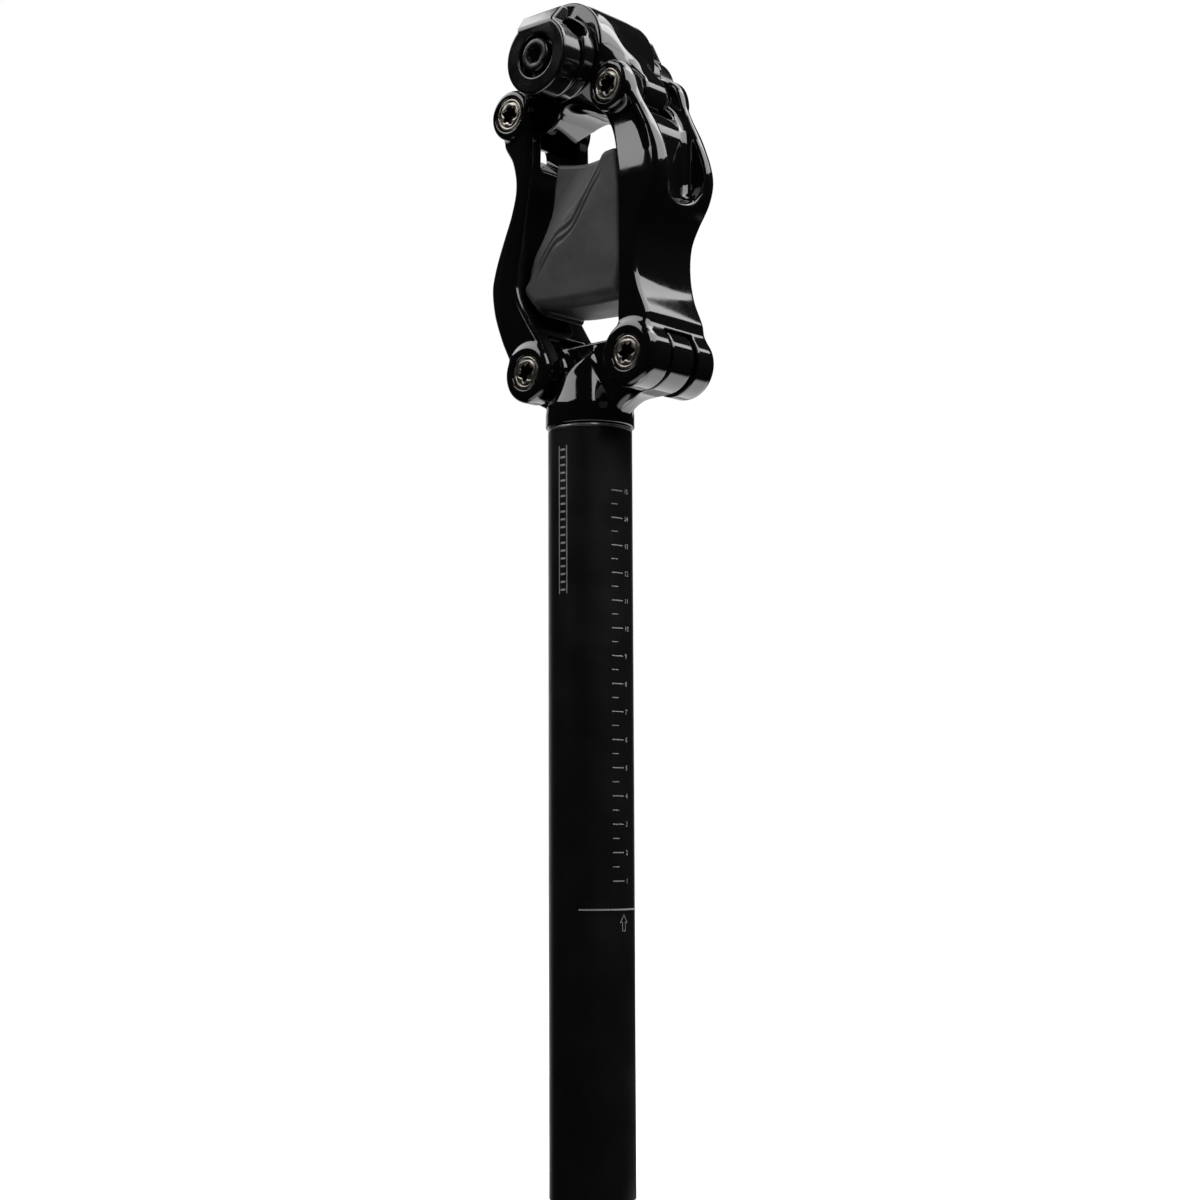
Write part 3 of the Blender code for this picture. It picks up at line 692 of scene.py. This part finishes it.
def rubberField():
    plan = rubberPlan
    outline = Outline([
        flowing([(30, 372), (25.0, 374.4), (21, 374.6), (8, 373.2), (-6.5, 376), (-12, 380)]),
        flowing([(-5, 382), (-6.5, 376), (-8.2, 367), (-9.6, 358), (-13.6, 350), (-19.0, 342), (-23, 334)]),
        flowing([
            (-17, 346), (-19.2, 341.4), (-21.0, 335), (-20.4, 329), (-17.5, 323.5), (-13, 319), (-8, 316),
        ]),
        flowing([(-20, 326), (-13, 321.4), (4.3, 319.8), (22, 319.1), (27, 319)]),
        np.array([(plan["front"], 319), (plan["front"], 335), (plan["front"] - 0.3, 361)]),
    ])
    shoulder = np.array([
        (-24, 326), (-17, 333), (-11.5, 342), (-4, 350), (4, 355.5), (11, 363), (17, 371), (22, 380),
    ])

    def field(x, y, z):
        side = np.abs(y)
        line = np.interp(x, shoulder[:, 0], shoulder[:, 1])
        above = (z - line) * 0.75
        half = plan["halfWidth"] - plan["recess"] * ramp(above, -1.5, 4.0)
        bands = ramp(above, -6.2, -5.4) * (1 - ramp(above, -1.6, -0.6))
        bands = bands * ramp(x, -16, -9) * (1 - ramp(x, 14, 20))
        wave = 0.5 + 0.5 * np.cos(2 * np.pi * (above + 0.9 * np.sin(x * 0.32 + 0.6)) / plan["grooveGap"])
        half = half - plan["grooveDepth"] * bands * wave
        return roundMeet(outline(x, z), side - half, 1.8 + 3.2 * (1 - ramp(z, 319, 333)))

    return field


def addElastomer(material):
    low, high = boxOf("elastomer")
    points, faces = skin(rubberField(), low, high, rubberPlan["cell"])
    piece = makePiece("elastomer_block", points, faces, "elastomer", material, "rubber_grey", "elastomer")
    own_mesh(piece)


# Turned pieces

def turnedSurface(rings, radiusAt, steps, centre, side=1):
    # rings of (radius, y, lobe) round a Y axis; lobe mixes in the socket's own outline. A solid piece
    # starts and ends in a pole, and a sleeve's last ring runs back to its first, so both are closed.
    turn = np.linspace(0, 2 * np.pi, steps, endpoint=False)[None, :]
    r, y, lobe = (np.array(rings, float)[:, k, None] for k in range(3))
    radius = r * (1 + lobe * (radiusAt(turn) - 1))
    p = np.stack([
        centre[0] + radius * np.cos(turn), side * y + 0 * turn, centre[1] + radius * np.sin(turn),
    ], -1)
    sleeve = rings[0][0] > 0
    if not sleeve:
        p = p[1:-1]
    count = len(p)
    k, j = np.meshgrid(np.arange(count if sleeve else count - 1), np.arange(steps), indexing="ij")
    after, n = (k + 1) % count, (j + 1) % steps
    quads = np.stack([k * steps + j, after * steps + j, after * steps + n, k * steps + n], -1)
    faces = quads.reshape(-1, 4).tolist()
    points = p.reshape(-1, 3)
    if not sleeve:
        poles = [(centre[0], side * rings[0][1], centre[1]), (centre[0], side * rings[-1][1], centre[1])]
        first, last = len(points), len(points) + 1
        points = np.concatenate([points, poles])
        lastRing = (count - 1) * steps
        for m in range(steps):
            faces.append([first, m, (m + 1) % steps])
            faces.append([last, lastRing + (m + 1) % steps, lastRing + m])
    if side < 0:
        faces = [face[::-1] for face in faces]
    return points, faces


def sixLobes(turn):
    return 1 + 0.17 * np.cos(6 * turn)


def hexagon(turn):
    return np.cos(np.pi / 6) / np.cos((turn % (np.pi / 3)) - np.pi / 6)


boltPlan = dict(
    face=18.3, head=6.15, under=15.1, shank=2.6, end=10.0, socket=3.15, depth=2.3, steps=96,
    # the last two give the depths over which the bolt's painted shade sets in
    socketShadeFrom=17.1, socketShadeTo=18.0,
)


def pivotBoltRings():
    # from the shank's end, round the head and its double lip, and down into the socket
    end, under, face = (boltPlan[name] for name in ("end", "under", "face"))
    shank, head, socket = (boltPlan[name] for name in ("shank", "head", "socket"))
    floor = face - boltPlan["depth"]
    return [
        (0, end, 0), (shank, end, 0), (shank, under - 0.1, 0), (shank + 0.1, under, 0),
        (head - 0.05, under, 0), (head, under + 0.05, 0), (head, face - 0.45, 0),
        (head - 0.08, face - 0.25, 0), (head - 0.3, face - 0.08, 0), (head - 0.5, face - 0.02, 0),
        (head - 0.95, face - 0.05, 0), (head - 1.08, face - 0.12, 0), (head - 1.15, face - 0.42, 0),
        (head - 1.3, face - 0.45, 0), (head - 1.55, face - 0.2, 0), (head - 1.75, face - 0.1, 0.1),
        (socket + 0.75, face - 0.06, 0.6), (socket + 0.3, face - 0.1, 1), (socket + 0.08, face - 0.22, 1),
        (socket, face - 0.45, 1), (socket, floor, 1), (socket - 0.15, floor - 0.12, 1),
        (1.4, floor - 0.5, 0.4), (0, floor - 1.1, 0),
    ]


def addPivotBolts(material):
    pivots = {
        "lower_front": frontLower, "lower_rear": rearLower,
        "upper_front": frontUpper, "upper_rear": rearUpper,
    }
    for number, (name, centre) in enumerate(pivots.items()):
        link = "front_link" if name.endswith("front") else "rear_link"
        for side, sideName in ((-1, "right"), (1, "left")):
            turned = 0.35 + 0.8 * number + 0.3 * side
            shape = lambda turn: sixLobes(turn + turned)
            points, faces = turnedSurface(pivotBoltRings(), shape, boltPlan["steps"], centre, side)
            node = f"{name}_bolt_{sideName}"
            makePiece(f"{node}_plated", points, faces, link, material, "bolt_nickel", node)


def addClampFasteners(steel, plain):
    low, high = boxOf("clamp_bolt")
    head, under, end = -low[1], 27.6, -high[1]
    rings = [
        (0, end, 0), (2.6, end, 0), (3.0, end + 0.4, 0), (3.0, under - 0.2, 0), (3.2, under, 0),
        (6.0, under, 0), (6.2, under + 0.2, 0), (6.2, head - 0.9, 0), (6.1, head - 0.5, 0),
        (5.8, head - 0.18, 0),
        (5.3, head, 0), (3.75, head, 0), (3.6, head - 0.06, 0), (3.35, head - 0.3, 0.2), (3.0, head - 0.5, 1),
        (2.95, head - 0.7, 1), (2.95, head - 3.2, 1), (1.5, head - 3.6, 0.5), (0, head - 4.0, 0),
    ]
    points, faces = turnedSurface(rings, hexagon, 120, clampAxis, -1)
    makePiece("clamp_bolt_screw", points, faces, "right_clamp_plate", steel, "steel_dark", "clamp_bolt")
    low, high = boxOf("clamp_washer")
    near, far = -high[1], -low[1]
    rings = [(3.3, near, 0), (7.2, near, 0), (7.4, near + 0.2, 0), (7.4, far - 0.2, 0), (7.2, far, 0),
             (3.4, far, 0), (3.3, far - 0.1, 0)]
    points, faces = turnedSurface(rings, hexagon, 96, clampAxis, -1)
    makePiece("clamp_washer_plain", points, faces, "right_clamp_plate", plain, "steel_plain", "clamp_washer")
    low, high = boxOf("clamp_nut")
    inner, outer = low[1], high[1]
    rings = [(3.3, inner, 0), (4.3, inner, 0), (4.4, inner + 0.1, 0), (4.4, 26.2, 0), (4.5, 26.3, 0),
             (6.8, 26.3, 0), (7.0, 26.5, 0), (7.0, outer - 0.9, 0), (6.8, outer - 0.3, 0), (6.4, outer, 0),
             (3.7, outer, 0), (3.3, outer - 0.4, 0)]
    points, faces = turnedSurface(rings, hexagon, 96, clampAxis, 1)
    makePiece("clamp_nut_sleeve", points, faces, "left_clamp_plate", steel, "steel_dark", "clamp_nut")


# Tube and its marks

tubePlan = dict(radius=15.45, wall=2.3, top=276.0, ring=1.3, lineHeight=101.5, tickStart=111.5, tickGap=10.0,
                tickCount=15, lift=0.05)


def uprightSurface(rings, steps=160):
    # rings of (radius, z) round the tube's axis, and the last ring meets the first
    turn = np.linspace(0, 2 * np.pi, steps, endpoint=False)[None, :]
    r, z = (np.array(rings, float)[:, k, None] for k in range(2))
    p = np.stack([r * np.cos(turn), r * np.sin(turn), z + 0 * turn], -1)
    count = len(rings)
    k, j = np.meshgrid(np.arange(count), np.arange(steps), indexing="ij")
    n, m = (j + 1) % steps, (k + 1) % count
    quads = np.stack([k * steps + j, k * steps + n, m * steps + n, m * steps + j], -1).reshape(-1, 4)
    return p.reshape(-1, 3), quads


def addTube(material, metal):
    t = tubePlan
    radius, inner, top = t["radius"], t["radius"] - t["wall"], t["top"]
    bend = np.radians(np.linspace(0, 90, 7))
    foot = [(radius - 0.6 + 0.6 * math.sin(a), 0.6 - 0.6 * math.cos(a)) for a in bend]
    joint = top - t["ring"]
    rings = foot + [(radius, z) for z in np.linspace(8, joint - 0.5, 26)] + [
        (radius, joint - 0.05), (radius - 0.05, joint), (inner, joint), (inner, 12), (inner, 0.4),
        (inner + 0.4, 0),
    ]
    points, faces = uprightSurface(rings)
    tube = makePiece("post_tube_body", points, faces, "post", material, "tube_black", "post_tube")
    tube.data.set_sharp_from_angle(angle=math.radians(40))
    rings = [(inner, joint + 0.02), (radius - 0.1, joint + 0.02), (radius - 0.02, joint + 0.1),
             (radius, joint + 0.3), (radius, top - 0.5), (radius - 0.12, top - 0.15), (radius - 0.35, top),
             (inner, top)]
    points, faces = uprightSurface(rings)
    makePiece("tube_top_ring", points, faces, "post", metal, "tube_black")


def wrapped(flat, lift):
    # flat marks, as (arc length, height) in millimetres, laid on the tube
    radius = tubePlan["radius"]
    turn = flat[:, 0] / radius
    return np.stack([(radius + lift) * np.cos(turn), (radius + lift) * np.sin(turn), flat[:, 1]], 1)


def bar(start, stop, low, high, steps=1):
    # a bar between two angles in degrees and two heights
    x = np.radians(np.linspace(start, stop, steps + 1)) * tubePlan["radius"]
    p = np.concatenate([np.stack([x, x * 0 + low], 1), np.stack([x, x * 0 + high], 1)])
    k = np.arange(steps)
    return p, np.stack([k, k + 1, k + steps + 2, k + steps + 1], 1)


def stroke(points, width):
    # a line of even width through flat points, as one quad for each span
    p = np.array(points, float)
    quads, place = [], []
    for n, (a, b) in enumerate(zip(p, p[1:])):
        along = (b - a) / np.linalg.norm(b - a)
        off = np.array([-along[1], along[0]]) * width / 2
        a, b = a - along * width / 2, b + along * width / 2
        place += [a - off, b - off, b + off, a + off]
        quads.append([4 * n, 4 * n + 1, 4 * n + 2, 4 * n + 3])
    return np.array(place), np.array(quads)


def figures(number, degrees, height, size):
    # the scale's numbers, set in the program's own plain font
    curve = bpy.data.curves.new("figure", "FONT")
    curve.body = str(number)
    curve.size = 1
    curve.align_x = "LEFT"
    curve.resolution_u = 3
    item = bpy.data.objects.new("figure", curve)
    bpy.context.collection.objects.link(item)
    mesh = bpy.data.meshes.new_from_object(item)
    p = np.array([v.co[:2] for v in mesh.vertices]) * size
    faces = [list(f.vertices) for f in mesh.polygons]
    bpy.data.objects.remove(item)
    bpy.data.meshes.remove(mesh)
    p[:, 0] += math.radians(degrees) * tubePlan["radius"]
    p[:, 1] += height - size * 0.35
    return p, faces


def addMarks(material):
    t = tubePlan
    marks = [bar(-66, 66, t["lineHeight"] - 0.28, t["lineHeight"] + 0.28, 60)]
    for k in range(t["tickCount"]):
        z = t["tickStart"] + k * t["tickGap"]
        marks.append(bar(-19.3, -0.5, z - 0.17, z + 0.17, 6))
        marks.append(figures(k + 1, 3.2, z, 2.6))
        if k:
            marks.append(bar(-19.3, -9.1, z - t["tickGap"] / 2 - 0.15, z - t["tickGap"] / 2 + 0.15, 4))
    x = math.radians(-1.4) * t["radius"]
    arrow = [
        (-0.75, 94.0), (-0.75, 97.0), (-1.7, 97.0), (0, 99.6), (1.7, 97.0), (0.75, 97.0), (0.75, 94.0),
        (-0.75, 94.0),
    ]
    marks.append(stroke([(x + a, z) for a, z in arrow], 0.22))
    low, high = 214.0, 268.0
    for degrees in (-95.0, -82.0):
        marks.append(bar(degrees - 0.7, degrees + 0.7, low, high, 1))
    for k in range(19):
        z = low + (high - low) * (k + 0.5) / 19
        marks.append(bar(-92.5, -84.5, z - 0.35, z + 0.35, 3))
    places, quads, count = [], [], 0
    for flat, faces in marks:
        places.append(wrapped(np.asarray(flat), t["lift"]))
        quads += [[int(v) + count for v in f] for f in faces]
        count += len(flat)
    mesh = bpy.data.meshes.new("tube_scale_marks")
    mesh.from_pydata((np.vstack(places) * mm).tolist(), [], quads)
    mesh.update()
    piece = bpy.data.objects.new("tube_scale_marks", mesh)
    bpy.context.collection.objects.link(piece)
    mesh.materials.append(material)
    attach(piece, "post")
    print("made tube_scale_marks")


# Stage

stagePlan = dict(
    place=(516.4, -582.7, 121.3), aim=41.3, rise=6.72, roll=0.233, lens=64.47, room=0.012,
    glows=[
        dict(turn=150, rise=-50, outer=38, inner=32, level=1.9),
        dict(turn=-172, rise=5, outer=34, inner=16, level=0.8),
        dict(turn=-70, rise=-80, outer=34, inner=20, level=1.2),
    ],
    boxes=dict(
        frontPanel=dict(turn=34, rise=50.2, distance=1.25, size=(0.80, 1.08), level=3.4, upright=True),
        rightPanel=dict(turn=88, rise=50.2, distance=1.25, size=(0.80, 1.08), level=3.4, upright=True),
        topPanel=dict(turn=112, rise=66, distance=0.80, size=(0.75, 0.62), level=3.0, upright=False),
        leftPanel=dict(turn=-104, rise=45, distance=0.95, size=(1.50, 0.54), level=2.6),
    ),
)


def addCamera():
    plan = stagePlan
    data = bpy.data.cameras.new("camera")
    data.lens = plan["lens"]
    data.sensor_width = 36
    data.clip_end = 50
    camera = bpy.data.objects.new("camera", data)
    aim, rise = math.radians(plan["aim"]), math.radians(plan["rise"])
    forward = Vector((-math.sin(aim) * math.cos(rise), math.cos(aim) * math.cos(rise), math.sin(rise)))
    right = Vector((math.cos(aim), math.sin(aim), 0))
    up = right.cross(forward)
    turn = Matrix((right, up, -forward)).transposed() @ Matrix.Rotation(-math.radians(plan["roll"]), 3, "Z")
    camera.matrix_world = Matrix.Translation(Vector(plan["place"]) * mm) @ turn.to_4x4()
    bpy.context.collection.objects.link(camera)
    bpy.context.scene.camera = camera


def heading(turn, rise):
    # a direction: turn is degrees to the right of the way from the object to the camera, rise is degrees up
    across, up = math.radians(turn + stagePlan["aim"]), math.radians(rise)
    return Vector((math.sin(across) * math.cos(up), -math.cos(across) * math.cos(up), math.sin(up)))


def addWorld():
    # a dim room with a pale sweep low behind the object; the camera itself sees plain white
    world = bpy.data.worlds.new("studio")
    bpy.context.scene.world = world
    world.use_nodes = True
    tree = world.node_tree
    back = tree.nodes["Background"]
    back.inputs["Color"].default_value = (1, 1, 1, 1)
    place = tree.nodes.new("ShaderNodeTexCoord").outputs["Generated"]
    total = None
    for glow in stagePlan["glows"]:
        facing = tree.nodes.new("ShaderNodeVectorMath")
        facing.operation = "DOT_PRODUCT"
        facing.inputs[1].default_value = heading(glow["turn"], glow["rise"])
        tree.links.new(place, facing.inputs[0])
        start, stop = (math.cos(math.radians(v)) for v in (glow["outer"], glow["inner"]))
        level = between(tree, facing.outputs["Value"], 0.0, glow["level"], start, stop)
        add = tree.nodes.new("ShaderNodeMath")
        add.operation = "ADD"
        add.inputs[1].default_value = stagePlan["room"]  # after the first glow, the sum so far is linked here
        tree.links.new(level, add.inputs[0])
        if total:
            tree.links.new(total, add.inputs[1])
        total = add.outputs["Value"]
    path = tree.nodes.new("ShaderNodeLightPath")
    mix = tree.nodes.new("ShaderNodeMix")
    mix.inputs["B"].default_value = 1.0
    tree.links.new(path.outputs["Is Camera Ray"], mix.inputs["Factor"])
    tree.links.new(total, mix.inputs["A"])
    tree.links.new(mix.outputs["Result"], back.inputs["Strength"])


def addSoftBox(name, box):
    middle = Vector((0, 0, 0.36))
    data = bpy.data.lights.new(name, "AREA")
    data.shape = "RECTANGLE"
    data.size, data.size_y = box["size"]
    data.energy = box["level"] * math.pi * box["size"][0] * box["size"][1]
    light = bpy.data.objects.new(name, data)
    away = heading(box["turn"], box["rise"])
    light.location = middle + away * box["distance"]
    aim = -away
    if "upright" in box:  # an upright panel looks level, any other one looks down
        aim = -heading(box["turn"], 0) if box["upright"] else Vector((0, 0, -1))
    light.rotation_euler = aim.to_track_quat("-Z", "Y").to_euler()
    light.visible_camera = False
    bpy.context.collection.objects.link(light)


def addStage():
    bpy.context.scene.view_settings.view_transform = "Standard"
    addCamera()
    addWorld()
    for name, box in stagePlan["boxes"].items():
        addSoftBox(name, box)
    reach, drop = 4.0, -0.0005
    corners = [(-reach, -reach, drop), (reach, -reach, drop), (reach, reach, drop), (-reach, reach, drop)]
    mesh = bpy.data.meshes.new("floor")
    mesh.from_pydata(corners, [], [(0, 1, 2, 3)])
    floor = bpy.data.objects.new("floor", mesh)
    bpy.context.collection.objects.link(floor)
    material, _, shader = newMaterial("paleFloor", (0.92, 0.92, 0.92), 0.7)
    shader.inputs["Emission Color"].default_value = (1, 1, 1, 1)
    shader.inputs["Emission Strength"].default_value = 1.0
    mesh.materials.append(material)
    floor.visible_glossy = False
    floor.visible_diffuse = False


addStage()
print("stage ready")
gloss, satin, clampPaint = polishedBlack(), satinTube(), clampBlack()
rubber, plated, steel = mouldedRubber(), platedBolt(), darkSteel()
plain = darkSteel("plainSteel", (0.18, 0.18, 0.18), (0.32, 0.31, 0.30))
metal, polymer, etched = bareMetal(), bushPolymer(), laserMark()
addForgings(gloss)
addClamps(clampPaint)
addElastomer(rubber)
addPivotBolts(plated)
addClampFasteners(steel, plain)
addTube(satin, metal)
addMarks(etched)
for name, node in frame["nodes"].items():
    if "_bush_" in name or name.endswith("_axle"):
        node.data.materials.clear()
        node.data.materials.append(polymer if "_bush_" in name else plain)
print("pieces ready")
